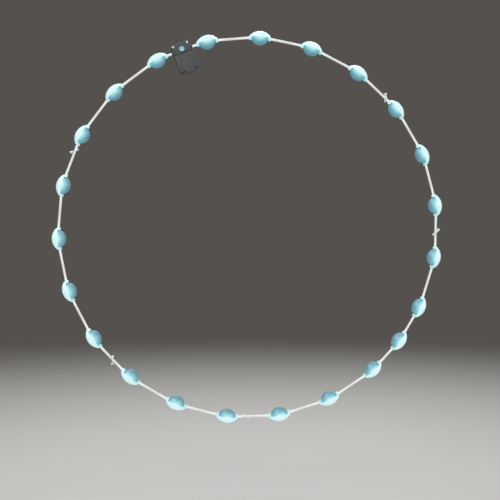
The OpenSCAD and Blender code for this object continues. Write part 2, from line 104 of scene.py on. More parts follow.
class Bench:
    """The modelling bench, which works on one piece at a time with Blender's own operators."""

    @staticmethod
    def idle() -> None:
        """Goes back to object mode with nothing selected."""
        if bpy.context.mode != "OBJECT":
            bpy.ops.object.mode_set(mode="OBJECT")
        bpy.ops.object.select_all(action="DESELECT")

    @staticmethod
    def take(piece: bpy.types.Object) -> None:
        """Makes a piece the only one that is selected, and the active one."""
        Bench.idle()
        piece.select_set(True)
        bpy.context.view_layer.objects.active = piece

    @staticmethod
    def open(piece: bpy.types.Object, pick: Pick, test: Callable[..., bool]) -> None:
        """Opens a piece for editing with some of it selected.

        Args:
            piece: The piece to open.
            pick: Whether points, edges or faces are chosen.
            test: Takes a point, an edge's two ends, or a face's middle and normal.
        """
        Bench.take(piece)
        bpy.ops.object.mode_set(mode="EDIT")
        bpy.ops.mesh.select_mode(type=pick.value)
        bpy.ops.mesh.select_all(action="DESELECT")
        bpy.ops.object.mode_set(mode="OBJECT")
        mesh = piece.data
        if pick is Pick.POINTS:
            for point in mesh.vertices:
                point.select = test(point.co)
        elif pick is Pick.EDGES:
            for edge in mesh.edges:
                start, end = (mesh.vertices[i].co for i in edge.vertices)
                edge.select = test(start, end)
        else:
            for face in mesh.polygons:
                face.select = test(face.center, face.normal)
        bpy.ops.object.mode_set(mode="EDIT")

    @staticmethod
    def block(name: str, low: Sequence[float], high: Sequence[float]) -> bpy.types.Object:
        """Adds a block.

        Args:
            name: The piece's name.
            low: Its lowest corner.
            high: Its highest corner.

        Returns:
            The new piece.
        """
        Bench.idle()
        low, high = Vector(low), Vector(high)
        bpy.ops.mesh.primitive_cube_add(size=1, location=(low + high) / 2, scale=high - low)
        return Bench.start(name)

    @staticmethod
    def rod(name: str, middle: Sequence[float], axis: Axis, length: float, radius: float,
            sides: int = 64, ends: str = "NGON") -> bpy.types.Object:
        """Adds a rod.

        Args:
            name: The piece's name.
            middle: The rod's middle.
            axis: The axis it lies along.
            length: Its length.
            radius: Its radius.
            sides: Number of sides round it.
            ends: How its ends are filled.

        Returns:
            The new piece.
        """
        Bench.idle()
        bpy.ops.mesh.primitive_cylinder_add(vertices=sides, radius=radius, depth=length, location=middle,
                                            rotation=axis.value, end_fill_type=ends)
        return Bench.start(name)

    @staticmethod
    def start(name: str) -> bpy.types.Object:
        """Names the primitive that was just added and puts its place into its mesh."""
        piece = bpy.context.object
        piece.name = piece.data.name = name
        bpy.ops.object.transform_apply(location=True, rotation=True, scale=True)
        return piece

    @staticmethod
    def turned(name: str, axis: Axis, profile: Sequence[tuple[float, float]],
               steps: int) -> bpy.types.Object:
        """Turns a profile about the y or z axis, as on a lathe.

        Args:
            name: The piece's name.
            axis: The axis that it is turned about.
            profile: Pairs of a place along the axis and a radius, from one end to the other.
            steps: Number of steps in the turn.

        Returns:
            The new piece.
        """
        spine = Vector((0, 1, 0)) if axis is Axis.Y else Vector((0, 0, 1))
        points = [Vector((radius, 0, 0)) + along * spine for along, radius in profile]
        Bench.idle()
        bpy.ops.mesh.primitive_plane_add(size=1)
        piece = Bench.start(name)
        bpy.ops.object.mode_set(mode="EDIT")
        bpy.ops.mesh.select_mode(type=Pick.POINTS.value)
        bpy.ops.mesh.select_all(action="SELECT")
        bpy.ops.mesh.merge(type="CENTER")
        bpy.ops.transform.translate(value=points[0])
        for here, there in zip(points, points[1:]):
            bpy.ops.mesh.extrude_region_move(TRANSFORM_OT_translate={"value": there - here})
        bpy.ops.mesh.select_all(action="SELECT")
        bpy.ops.mesh.spin(steps=steps, angle=math.tau, center=(0, 0, 0), axis=spine)
        Bench.close_seams(piece)
        return piece

    @staticmethod
    def close_seams(piece: bpy.types.Object) -> None:
        """Merges points that lie on each other and turns the faces outwards."""
        Bench.open(piece, Pick.POINTS, lambda point: True)
        bpy.ops.mesh.remove_doubles(threshold=MERGE)
        bpy.ops.mesh.normals_make_consistent(inside=False)
        Bench.idle()

    @staticmethod
    def shift(piece: bpy.types.Object, move: Sequence[float]) -> None:
        """Moves all of a piece's points."""
        Bench.open(piece, Pick.POINTS, lambda point: True)
        bpy.ops.transform.translate(value=move)
        Bench.idle()

    @staticmethod
    def slice(piece: bpy.types.Object, point: Vector, keep: Vector) -> None:
        """Cuts a piece along a plane and closes the cut with a face.

        Args:
            piece: The piece to cut.
            point: A point of the plane.
            keep: The plane's normal, towards the side that stays.
        """
        Bench.open(piece, Pick.FACES, lambda middle, normal: True)
        bpy.ops.mesh.bisect(plane_co=point, plane_no=keep, use_fill=True, clear_inner=True,
                            threshold=ON_PLANE)
        Bench.idle()

    @staticmethod
    def ease(piece: bpy.types.Object, width: float, segments: int, test: Callable[..., bool]) -> None:
        """Rounds the edges that a test chooses.

        Args:
            piece: The piece to work on.
            width: Width of the rounding.
            segments: Number of faces across it.
            test: Takes an edge's two ends.
        """
        Bench.open(piece, Pick.EDGES, test)
        bpy.ops.mesh.bevel(offset=width, segments=segments, affect="EDGES")
        Bench.idle()

    @staticmethod
    def combine(piece: bpy.types.Object, join: Join, *tools: bpy.types.Object) -> None:
        """Joins tool shapes to a piece, cuts them out or keeps what they share, then clears slivers."""
        for tool in tools:
            change = piece.modifiers.new("combine", "BOOLEAN")
            change.operation, change.object, change.solver = join.value, tool, "EXACT"
            Bench.take(piece)
            bpy.ops.object.modifier_apply(modifier=change.name)
            bpy.data.objects.remove(tool, do_unlink=True)
        Bench.open(piece, Pick.POINTS, lambda point: True)
        bpy.ops.mesh.dissolve_degenerate(threshold=MERGE)
        Bench.idle()

    @staticmethod
    def wall(piece: bpy.types.Object, thickness: float, offset: float) -> None:
        """Gives an open skin its thickness, inwards at an offset of -1 and outwards at 1."""
        skin = piece.modifiers.new("wall", "SOLIDIFY")
        skin.thickness, skin.offset, skin.use_even_offset = thickness, offset, True
        Bench.take(piece)
        bpy.ops.object.modifier_apply(modifier=skin.name)

    @staticmethod
    def copy(piece: bpy.types.Object, name: str) -> bpy.types.Object:
        """Copies a piece with a mesh of its own."""
        Bench.take(piece)
        bpy.ops.object.duplicate(linked=False)
        twin = bpy.context.object
        twin.name = twin.data.name = name
        return twin

    @staticmethod
    def settle(piece: bpy.types.Object, place: Matrix) -> None:
        """Sets a piece in its place on the wheel and puts the place into its mesh."""
        piece.matrix_world = place
        Bench.take(piece)
        bpy.ops.object.transform_apply(location=True, rotation=True, scale=True)

    @staticmethod
    def gather(pieces: Sequence[bpy.types.Object], name: str) -> bpy.types.Object:
        """Joins pieces into one object."""
        Bench.take(pieces[0])
        for piece in pieces[1:]:
            piece.select_set(True)
        bpy.ops.object.join()
        pieces[0].name = pieces[0].data.name = name
        return pieces[0]

    @staticmethod
    def smooth(piece: bpy.types.Object, degrees: float = 35.0) -> None:
        """Shades a piece smooth up to an angle between its faces."""
        Bench.take(piece)
        bpy.ops.object.shade_smooth_by_angle(angle=math.radians(degrees))

    @staticmethod
    def hand_over(piece: bpy.types.Object, body: Body, slot: str, paint: bpy.types.Material,
                  *nodes: str) -> None:
        """Paints a finished piece and puts it on the frame.

        Args:
            piece: The finished piece.
            body: The body that it rides on.
            slot: The record's slot that it would take its finish from; not used.
            paint: Its material.
            nodes: The frame's nodes that it stands for.
        """
        piece.data.materials.clear()
        piece.data.materials.append(paint)
        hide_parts(*nodes)
        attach(piece, body.value)
        log.info("%s: %d faces, on %s", piece.name, len(piece.data.polygons), body.value)


class Paint:
    """A material's nodes, added round its one shader."""

    # The range that cloudy noise mostly keeps to
    CLOUDS = (0.3, 0.7)

    def __init__(self, name: str) -> None:
        """Starts a material with a bare shader."""
        self.material = bpy.data.materials.new(name)
        self.material.use_nodes = True
        self.nodes = self.material.node_tree.nodes
        self.shader = self.nodes["Principled BSDF"]

    def feed(self, socket: bpy.types.NodeSocket, into: bpy.types.NodeSocket) -> None:
        """Links one socket into another."""
        self.material.node_tree.links.new(socket, into)

    def place(self, stretch: Sequence[float] = (1.0, 1.0, 1.0)) -> bpy.types.NodeSocket:
        """Gives object coordinates, stretched along each axis."""
        where = self.nodes.new("ShaderNodeTexCoord")
        mapping = self.nodes.new("ShaderNodeMapping")
        mapping.inputs["Scale"].default_value = stretch
        self.feed(where.outputs["Object"], mapping.inputs["Vector"])
        return mapping.outputs["Vector"]

    def noise(self, scale: float, detail: float = 3.0,
              stretch: Sequence[float] = (1.0, 1.0, 1.0)) -> bpy.types.NodeSocket:
        """Adds cloudy noise.

        Args:
            scale: Clouds to a metre.
            detail: Number of finer layers.
            stretch: Stretch along each axis.

        Returns:
            The noise's value.
        """
        clouds = self.nodes.new("ShaderNodeTexNoise")
        clouds.inputs["Scale"].default_value = scale
        clouds.inputs["Detail"].default_value = detail
        self.feed(self.place(stretch), clouds.inputs["Vector"])
        return clouds.outputs["Fac"]

    def mark(self, name: str) -> bpy.types.NodeSocket:
        """Reads a value that is stored on the piece's points."""
        stored = self.nodes.new("ShaderNodeAttribute")
        stored.attribute_name = name
        return stored.outputs["Fac"]

    def ramp(self, value: bpy.types.NodeSocket, stops: Stops) -> bpy.types.NodeSocket:
        """Turns a value into a colour.

        Args:
            value: The value, from 0 to 1.
            stops: Places along the ramp and their colours.

        Returns:
            The colour.
        """
        band = self.nodes.new("ShaderNodeValToRGB")
        points = band.color_ramp.elements
        while len(points) < len(stops):
            points.new(1.0)
        for point, (where, colour) in zip(points, stops):
            point.position, point.color = where, (*colour, 1.0)
        self.feed(value, band.inputs["Fac"])
        return band.outputs["Color"]

    def span(self, value: bpy.types.NodeSocket, low: float, high: float) -> bpy.types.NodeSocket:
        """Brings cloudy noise to values between two others."""
        band = self.nodes.new("ShaderNodeMapRange")
        band.inputs["From Min"].default_value, band.inputs["From Max"].default_value = self.CLOUDS
        band.inputs["To Min"].default_value, band.inputs["To Max"].default_value = low, high
        self.feed(value, band.inputs["Value"])
        return band.outputs["Result"]

    def relief(self, height: bpy.types.NodeSocket, strength: float, depth: float) -> None:
        """Gives the shader a relief.

        Args:
            height: The relief's height, from 0 to 1.
            strength: How strongly it shows.
            depth: Its depth in metres.
        """
        bump = self.nodes.new("ShaderNodeBump")
        bump.inputs["Strength"].default_value = strength
        bump.inputs["Distance"].default_value = depth
        self.feed(height, bump.inputs["Height"])
        self.feed(bump.outputs["Normal"], self.shader.inputs["Normal"])

    def set(self, **values: float) -> None:
        """Sets plain values of the shader, named with underscores for spaces."""
        for name, value in values.items():
            self.shader.inputs[name.replace("_", " ")].default_value = value


@dataclass(frozen=True)
class LitPlastic:
    """Frosted plastic that glows, in colours that follow the distance from its core: lit from inside in
    the lamps, painted lamplight on the cable.
    """

    name: str
    light: Stops
    skin: Stops
    strength: float = 1.0
    roughness: tuple[float, float] = (0.28, 0.42)
    frost: float = 1600.0
    relief: tuple[float, float] = (0.15, 0.0001)
    ior: float = 1.49

    def make(self) -> bpy.types.Material:
        """Makes the material, which reads the distance from the lit core off the points."""
        paint = Paint(self.name)
        core = paint.mark("glow")
        paint.feed(paint.ramp(core, self.light), paint.shader.inputs["Emission Color"])
        paint.feed(paint.ramp(core, self.skin), paint.shader.inputs["Base Color"])
        frost = paint.noise(self.frost)
        paint.feed(paint.span(frost, *self.roughness), paint.shader.inputs["Roughness"])
        paint.relief(frost, *self.relief)
        paint.set(Emission_Strength=self.strength, IOR=self.ior)
        return paint.material


@dataclass(frozen=True)
class Moulded:
    """Moulded plastic or rubber with a fine grain and slightly uneven colour."""

    name: str
    tone: Colour
    shade: Colour
    roughness: tuple[float, float]
    grain: float = 2200.0
    depth: float = 0.00008
    ior: float = 1.5
    subsurface: float = 0.0
    patches: tuple[float, float] = (90.0, 4.0)
    blend: tuple[float, float] = (0.35, 0.65)
    grain_layers: float = 2.0
    strength: float = 0.3

    def make(self) -> bpy.types.Material:
        """Makes the material."""
        paint = Paint(self.name)
        low, high = self.blend
        patches = paint.ramp(paint.noise(*self.patches), ((low, self.shade), (high, self.tone)))
        paint.feed(patches, paint.shader.inputs["Base Color"])
        grain = paint.noise(self.grain, self.grain_layers)
        paint.feed(paint.span(grain, *self.roughness), paint.shader.inputs["Roughness"])
        paint.relief(grain, self.strength, self.depth)
        paint.set(IOR=self.ior, Subsurface_Weight=self.subsurface)
        return paint.material


@dataclass(frozen=True)
class Bright:
    """Bright metal with fine marks along one direction."""

    name: str
    tone: Colour
    shade: Colour
    roughness: tuple[float, float]
    marks: Sequence[float] = (1.0, 1.0, 12.0)
    patches: float = 240.0
    blend: tuple[float, float] = (0.3, 0.7)
    lines: tuple[float, float] = (2600.0, 2.0)
    relief: tuple[float, float] = (0.08, 0.00002)

    def make(self) -> bpy.types.Material:
        """Makes the material."""
        paint = Paint(self.name)
        low, high = self.blend
        patches = paint.ramp(paint.noise(self.patches), ((low, self.shade), (high, self.tone)))
        paint.feed(patches, paint.shader.inputs["Base Color"])
        lines = paint.noise(*self.lines, self.marks)
        paint.feed(paint.span(lines, *self.roughness), paint.shader.inputs["Roughness"])
        paint.relief(lines, *self.relief)
        paint.set(Metallic=1.0)
        return paint.material


@dataclass(frozen=True)
class Board:
    """Circuit board with a lacquer over darker tracks."""

    name: str
    lacquer: Colour
    track: Colour
    pitch: float = 420.0
    blend: tuple[float, float] = (0.42, 0.5)
    haze: float = 700.0
    roughness: tuple[float, float] = (0.3, 0.5)
    relief: tuple[float, float] = (0.1, 0.00004)

    def make(self) -> bpy.types.Material:
        """Makes the material."""
        paint = Paint(self.name)
        cells = paint.nodes.new("ShaderNodeTexVoronoi")
        cells.distance, cells.feature = "CHEBYCHEV", "F1"
        cells.inputs["Scale"].default_value = self.pitch
        paint.feed(paint.place(), cells.inputs["Vector"])
        low, high = self.blend
        tracks = paint.ramp(cells.outputs["Distance"], ((low, self.lacquer), (high, self.track)))
        paint.feed(tracks, paint.shader.inputs["Base Color"])
        haze = paint.span(paint.noise(self.haze), *self.roughness)
        paint.feed(haze, paint.shader.inputs["Roughness"])
        paint.relief(cells.outputs["Distance"], *self.relief)
        return paint.material


# Colours of the light that leaves each lit piece, and of its skin, by distance from the lit core
LENS_LIGHT: Stops = (
    (0.1, (0.36, 0.61, 0.62)), (0.28, (0.25, 0.52, 0.55)), (0.45, (0.13, 0.36, 0.42)),
    (0.7, (0.075, 0.21, 0.26)), (1.0, (0.05, 0.125, 0.16)))
LENS_SKIN: Stops = (
    (0.1, (0.34, 0.36, 0.36)), (0.35, (0.19, 0.28, 0.3)),
    (0.6, (0.09, 0.18, 0.21)), (1.0, (0.06, 0.13, 0.16)))
CASE_LIGHT: Stops = ((0.0, (0.42, 0.61, 0.61)), (0.4, (0.38, 0.59, 0.6)), (0.58, (0.22, 0.48, 0.51)))
CASE_SKIN: Stops = ((0.0, (0.36, 0.36, 0.36)), (0.58, (0.3, 0.36, 0.37)))
# Painted lamplight on the cable, which is no lamp: a painted glow all along it, brightest next to the
# lamps, with a skin a touch bluer there.
CABLE_PAINTED_LAMPLIGHT: Stops = ((0.0, (0.56, 0.6, 0.6)), (0.35, (0.46, 0.48, 0.47)), (1.0, (0.4, 0.4, 0.385)))
CABLE_SKIN: Stops = ((0.0, (0.36, 0.37, 0.37)), (1.0, (0.36, 0.36, 0.355)))


@dataclass(frozen=True)
class Finishes:
    """Every finish of the light, made once."""

    lens: LitPlastic = LitPlastic("lit_lens", LENS_LIGHT, LENS_SKIN)
    lamp_case: LitPlastic = LitPlastic("lit_lamp_case", CASE_LIGHT, CASE_SKIN)
    # The cable's emission is painted lamplight.
    cable: LitPlastic = LitPlastic("cable_painted_lamplight", CABLE_PAINTED_LAMPLIGHT, CABLE_SKIN, roughness=(0.3, 0.5))
    nylon: Moulded = Moulded("natural_nylon", (0.8, 0.83, 0.83), (0.7, 0.74, 0.74), (0.35, 0.5),
                             subsurface=0.15)
    case: Moulded = Moulded("dark_case", (0.06, 0.063, 0.068), (0.045, 0.047, 0.051), (0.42, 0.6))
    clamp: Moulded = Moulded("dark_clamp", (0.07, 0.072, 0.076), (0.052, 0.054, 0.058), (0.45, 0.65))
    seal: Moulded = Moulded("black_silicone", (0.04, 0.04, 0.042), (0.028, 0.028, 0.03), (0.6, 0.8),
                            grain=1400.0)
    button: Moulded = Moulded("blue_silicone", (0.3, 0.56, 0.63), (0.25, 0.49, 0.56), (0.45, 0.6),
                              grain=1400.0, subsurface=0.1)
    chip: Moulded = Moulded("moulded_black", (0.035, 0.035, 0.037), (0.025, 0.025, 0.027), (0.4, 0.6))
    plunger: Moulded = Moulded("white_moulding", (0.76, 0.76, 0.75), (0.68, 0.68, 0.67), (0.35, 0.5))
    phosphor: Moulded = Moulded("phosphor", (0.98, 0.88, 0.5), (0.95, 0.8, 0.38), (0.3, 0.45))
    screw: Bright = Bright("bright_steel", (0.74, 0.75, 0.76), (0.66, 0.67, 0.68), (0.28, 0.4))
    cell: Bright = Bright("cell_steel", (0.82, 0.83, 0.84), (0.76, 0.77, 0.78), (0.34, 0.46),
                          marks=(8.0, 1.0, 8.0))
    contact: Bright = Bright("nickel_contact", (0.84, 0.8, 0.7), (0.76, 0.72, 0.62), (0.3, 0.42))
    control_board: Board = Board("green_board", (0.05, 0.24, 0.13), (0.03, 0.15, 0.08))
    strip_board: Board = Board("white_board", (0.86, 0.86, 0.82), (0.7, 0.7, 0.66))

    def dress(self, node: str, finish: str) -> None:
        """Gives one of the frame's own nodes a finish."""
        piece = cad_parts[node]
        piece.data.materials.clear()
        piece.data.materials.append(getattr(self, finish).make())
        log.info("%s: frame node, %s", node, finish)


@dataclass(frozen=True)
class RingLayout:
    """Where the lamps, the cable's spans and the spokes lie round the wheel, angles in degrees."""

    ring_r: float = 245.0
    first_lamp: float = 335.0
    pitch: float = 16.0
    regular: int = 22
    lamp_len: float = 28.0
    spoke_rim_r: float = 305.0
    spoke_hub_r: float = 20.0
    spoke_out: float = 35.0
    spoke_drop: float = 3.3
    case_span: int = 8

    @property
    def count(self) -> int:
        """Number of lamps, the closing one included."""
        return self.regular + 1

    @property
    def lean(self) -> float:
        """Angle of a spoke to the wheel's plane, in radians."""
        return math.atan(self.spoke_out / (self.spoke_rim_r - self.spoke_hub_r))

    @property
    def end_r(self) -> float:
        """Radius of a lamp's two ends."""
        return math.hypot(self.ring_r, self.lamp_len / 2)

    @property
    def lift(self) -> float:
        """Distance of the ring from the wheel's middle plane."""
        inwards = (self.spoke_rim_r - self.chord_r(0)) / (self.spoke_rim_r - self.spoke_hub_r)
        return self.spoke_out * inwards + self.spoke_drop / math.cos(self.lean)

    def lamp_angle(self, lamp: int) -> float:
        """Angle of a lamp: the regular ones, then two equal closing steps."""
        closing = (360 - (self.regular - 1) * self.pitch) / 2
        last = self.regular - 1
        return self.first_lamp + min(lamp, last) * self.pitch + max(lamp - last, 0) * closing

    def span_half(self, span: int) -> float:
        """Half the angle between the two lamps of a span."""
        return (self.lamp_angle(span + 1) - self.lamp_angle(span)) / 2

    def span_mid(self, span: int) -> float:
        """Angle of a span's middle."""
        return self.lamp_angle(span) + self.span_half(span)

    def bend(self, span: int) -> float:
        """Half the angle that a span's cable covers, in radians."""
        return math.radians(self.span_half(span)) - math.atan(self.lamp_len / 2 / self.ring_r)

    def chord_r(self, span: int) -> float:
        """Radius of a span's middle."""
        return self.end_r * math.cos(self.bend(span))

    def chord_half(self, span: int) -> float:
        """Half the length of cable between two lamps."""
        return self.end_r * math.sin(self.bend(span))

    def at(self, angle: float, radius: float) -> Matrix:
        """Gives the frame of a point of the ring.

        Args:
            angle: The point's angle, anticlockwise from the wheel's front.
            radius: Its distance from the axle.

        Returns:
            A frame with x away from the hub, y along the ring and z to the lit side, which also
            takes millimetres to metres.
        """
        turn = Matrix.Rotation(math.pi / 2, 4, "X") @ Matrix.Rotation(math.radians(angle), 4, "Z")
        return Matrix.Scale(MM, 4) @ turn @ Matrix.Translation((radius, 0, self.lift))


@dataclass
class LampSet:
    """The lamps: milky cases that bulge from the cable, each with a clear lens towards the hub."""

    layout: RingLayout
    finishes: Finishes
    case_d: float = 18.8
    case_crown: float = 6.3
    nose_d: float = 5.2
    nose_lip: float = 0.4
    mouth_r: float = 1.8
    mouth_deep: float = 1.5
    window_half: float = 11.1
    seat: float = 1.8
    core: float = 3.0
    back: float = -2.3
    lens_d: float = 22.0
    lens_crown: float = 6.0
    lens_edge: float = 0.8
    lens_reach: float = 9.0
    lens_wall: float = 1.4
    lens_round: float = 1.6
    case_smooth: float = 50.0
    lens_smooth: float = 40.0
    net: float = 2.5
    net_lines: tuple[int, int] = (4, 3)
    case_glow: float = 30.0
    lens_glow: float = 18.0
    rings: int = 14
    end_rings: int = 5
    steps: int = 72

    def barrel(self) -> list[tuple[float, float]]:
        """Follows the barrel-shaped side of a case and its rounded ends, as places and radii."""
        reach, rounding = self.layout.lamp_len / 2, self.nose_lip
        arc_r = arc_radius(reach, (self.case_d - self.nose_d) / 2)
        turn = math.asin((reach - rounding) / (arc_r - rounding))
        middle = (0.0, self.case_d / 2 - arc_r)
        half = self.arc(middle, arc_r, math.pi / 2, math.pi / 2 - turn, self.rings)
        end = (reach - rounding, half[-1][1] - rounding * math.cos(turn))
        half += self.arc(end, rounding, math.pi / 2 - turn, 0.0, self.end_rings)[1:]
        return [(-y, r) for y, r in reversed(half[1:])] + half

    def arc(self, middle: tuple[float, float], radius: float, start: float, end: float,
            steps: int) -> list[tuple[float, float]]:
        """Follows an arc of a profile.

        Args:
            middle: The arc's middle, along the axis and away from it.
            radius: Its radius.
            start: The angle at which it starts, from the axis's own direction.
            end: The angle at which it ends.
            steps: Number of steps along it.

        Returns:
            Pairs of a place along the axis and a radius.
        """
        angles = [start + (end - start) * i / steps for i in range(steps + 1)]
        return [(middle[0] + radius * math.cos(t), middle[1] + radius * math.sin(t)) for t in angles]

    def back_plane(self) -> tuple[Vector, Vector]:
        """A point of the plane that a lamp's back lies in, along the spokes, and its normal."""
        normal = Vector((math.sin(self.layout.lean), 0, math.cos(self.layout.lean)))
        return normal * self.back, normal

    def mark_glow(self, piece: bpy.types.Object, half: float) -> None:
        """Stores each point's distance from the lit core.

        Args:
            piece: The lens or case to mark.
            half: Distance along the cable at which the value is 1, as it is at the lens's tip.
        """
        layer = piece.data.attributes.new("glow", "FLOAT", "POINT")
        deep = self.core + self.lens_reach
        for point, stored in zip(piece.data.vertices, layer.data):
            stored.value = math.hypot((point.co.x - self.core) / deep, point.co.y / half)

    def front_form(self) -> bpy.types.Object:
        """Turns the wide dome that a case's front follows."""
        outer = self.case_d
        dome_r = arc_radius(self.layout.lamp_len / 2, self.case_crown - self.nose_d / 2)
        middle = self.case_crown - dome_r
        profile = [(-outer, 0.0), (-outer, outer)]
        profile += self.arc((middle, 0.0), dome_r, math.asin(outer / dome_r), 0.0, 2 * self.rings)
        dome = Bench.turned("front", Axis.Z, profile, self.steps)
        Bench.shift(dome, (self.lens_d / 2 - self.lens_reach, 0, 0))
        return dome

    def divide_back(self, case: bpy.types.Object) -> None:
        """Divides a case's flat back into small faces, so that its glow changes evenly."""
        behind = -self.back_plane()[1]
        along, inwards = self.net_lines
        lines = [(Vector((0, 1, 0)), step) for step in range(-along, along + 1)]
        lines += [(Vector((1, 0, 0)), step) for step in range(1, inwards + 1)]
        for across, step in lines:
            Bench.open(case, Pick.FACES, lambda middle, normal: normal.dot(behind) > SQUARE)
            bpy.ops.mesh.bisect(plane_co=across * self.net * step, plane_no=across, threshold=ON_PLANE)
            Bench.idle()

    def build_case(self) -> bpy.types.Object:
        """Turns a lamp's case, domes its front, opens it for the lens and flattens its back."""
        end = self.layout.lamp_len / 2
        mouth = [(end, self.mouth_r), (end - self.mouth_deep, self.mouth_r), (end - self.mouth_deep, 0.0)]
        profile = [(-y, r) for y, r in reversed(mouth)] + self.barrel() + mouth
        case = Bench.turned("lamp_body", Axis.Y, profile, self.steps)
        Bench.combine(case, Join.KEEP, self.front_form())
        room, half = 2 * self.case_d, self.window_half
        window = Bench.block("window", (-room, -half, -room), (self.seat, half, room))
        Bench.combine(case, Join.CUT, window)
        Bench.slice(case, Vector((-self.nose_d / 2, 0, 0)), Vector((1, 0, 0)))
        Bench.slice(case, *self.back_plane())
        self.divide_back(case)
        self.mark_glow(case, self.case_glow)
        Bench.smooth(case, self.case_smooth)
        cuts = (-self.back_plane()[1], Vector((-1, 0, 0)), Vector((0, 1, 0)), Vector((0, -1, 0)))
        Bench.open(case, Pick.FACES,
                   lambda middle, normal: max(normal.dot(cut) for cut in cuts) > SQUARE)
        bpy.ops.mesh.faces_shade_flat()
        Bench.idle()
        return case

    def lens_form(self, name: str, wall: float) -> bpy.types.Object:
        """Turns the lens's outside, or its hollow: a dome with a rounded upright edge and a flat back.

        Args:
            name: The form's name.
            wall: Distance of the form from the lens's outside.

        Returns:
            The form, still whole on the side of the seat.
        """
        outer, rounding = self.lens_d / 2, self.lens_round - wall
        dome_r = arc_radius(outer, self.lens_crown - self.lens_edge)
        middle = self.lens_crown - dome_r
        dome_r, outer = dome_r - wall, outer - wall
        meet = math.asin((outer - rounding) / (dome_r - rounding))
        edge = (middle + (dome_r - rounding) * math.cos(meet), outer - rounding)
        profile = [(-self.lens_crown, 0.0), (-self.lens_crown, outer)]
        profile += self.arc(edge, rounding, math.pi / 2, meet, self.end_rings)
        profile += self.arc((middle, 0.0), dome_r, meet, 0.0, self.rings)[1:]
        form = Bench.turned(name, Axis.Z, profile, self.steps)
        Bench.shift(form, (self.lens_d / 2 - self.lens_reach, 0, 0))
        point, normal = self.back_plane()
        Bench.slice(form, point + normal * wall, normal)
        return form

    def build_lens(self) -> bpy.types.Object:
        """Hollows the lens and cuts it off at its seat."""
        room = 2 * self.lens_d
        lens = self.lens_form("lens", 0.0)
        beyond = Bench.block("beyond", (self.seat, -room, -room), (room, room, room))
        Bench.combine(lens, Join.CUT, self.lens_form("hollow", self.lens_wall), beyond)
        self.mark_glow(lens, self.lens_glow)
        Bench.smooth(lens, self.lens_smooth)
        return lens

    def build(self) -> None:
        """Models one lamp, copies it round the ring and paints it."""
        case, lens = self.build_case(), self.build_lens()
        cases = []
        paint = self.finishes.lens.make()
        for lamp in range(self.layout.count):
            place = self.layout.at(self.layout.lamp_angle(lamp), self.layout.ring_r)
            cases.append(Bench.copy(case, f"lamp_body_{lamp + 1:02d}"))
            Bench.settle(cases[-1], place)
            glass = Bench.copy(lens, f"lens_{lamp + 1:02d}")
            Bench.settle(glass, place)
            Bench.hand_over(glass, Body.LIGHT, "lens", paint, f"lamp_lens_{lamp + 1:02d}")
        for pattern in (case, lens):
            bpy.data.objects.remove(pattern, do_unlink=True)
        bodies = Bench.gather(cases, "lamp_bodies")
        Bench.hand_over(bodies, Body.LIGHT, "lamp_case", self.finishes.lamp_case.make(), "lamp_cases")


@dataclass
class StringCable:
    """The cable's spans, drawn tight from lamp to lamp and into the battery case."""

    layout: RingLayout
    finishes: Finishes
    radius: float = 1.5
    into_lamp: float = 2.3
    case_half: float = 10.1
    end_round: float = 0.3
    end_steps: int = 2
    sides: int = 32
    cuts: int = 15

    def run(self, start: float, end: float, middle: float) -> bpy.types.Object:
        """Models one run of cable along y, with a painted glow of lamplight that is brightest next to the
        lamps.

        Args:
            start: Where it starts.
            end: Where it ends.
            middle: Length of cable from a span's middle to a lamp.

        Returns:
            The new run.
        """
        run = Bench.rod("run", (0, (start + end) / 2, 0), Axis.Y, end - start, self.radius, self.sides)
        Bench.ease(run, self.end_round, self.end_steps, lambda a, b: abs(a.y - b.y) < NEAR)
        Bench.open(run, Pick.EDGES, lambda a, b: abs(a.y - b.y) > (end - start) / 2)
        bpy.ops.mesh.subdivide(number_cuts=self.cuts)
        Bench.idle()
        # Painted lamplight: 0 next to a lamp, where the cable's painted glow is brightest, rising to 1 at
        # the span's middle.
        layer = run.data.attributes.new("glow", "FLOAT", "POINT")
        for point, stored in zip(run.data.vertices, layer.data):
            stored.value = min(max(1 - abs(point.co.y) / middle, 0.0), 1.0)
        return run

    def build(self) -> None:
        """Models every span and joins them into one piece."""
        runs = []
        for span in range(self.layout.count):
            middle = self.layout.chord_half(span)
            reach = middle + self.into_lamp
            place = self.layout.at(self.layout.span_mid(span), self.layout.chord_r(span))
            stretches = [(-reach, reach)]
            if span == self.layout.case_span:
                stretches = [(-reach, -self.case_half), (self.case_half, reach)]
            for start, end in stretches:
                runs.append(self.run(start, end, middle))
                Bench.settle(runs[-1], place)
        cable = Bench.gather(runs, "cable_painted_glow")
        Bench.smooth(cable)
        Bench.hand_over(cable, Body.LIGHT, "cable", self.finishes.cable.make(), "string_cable")


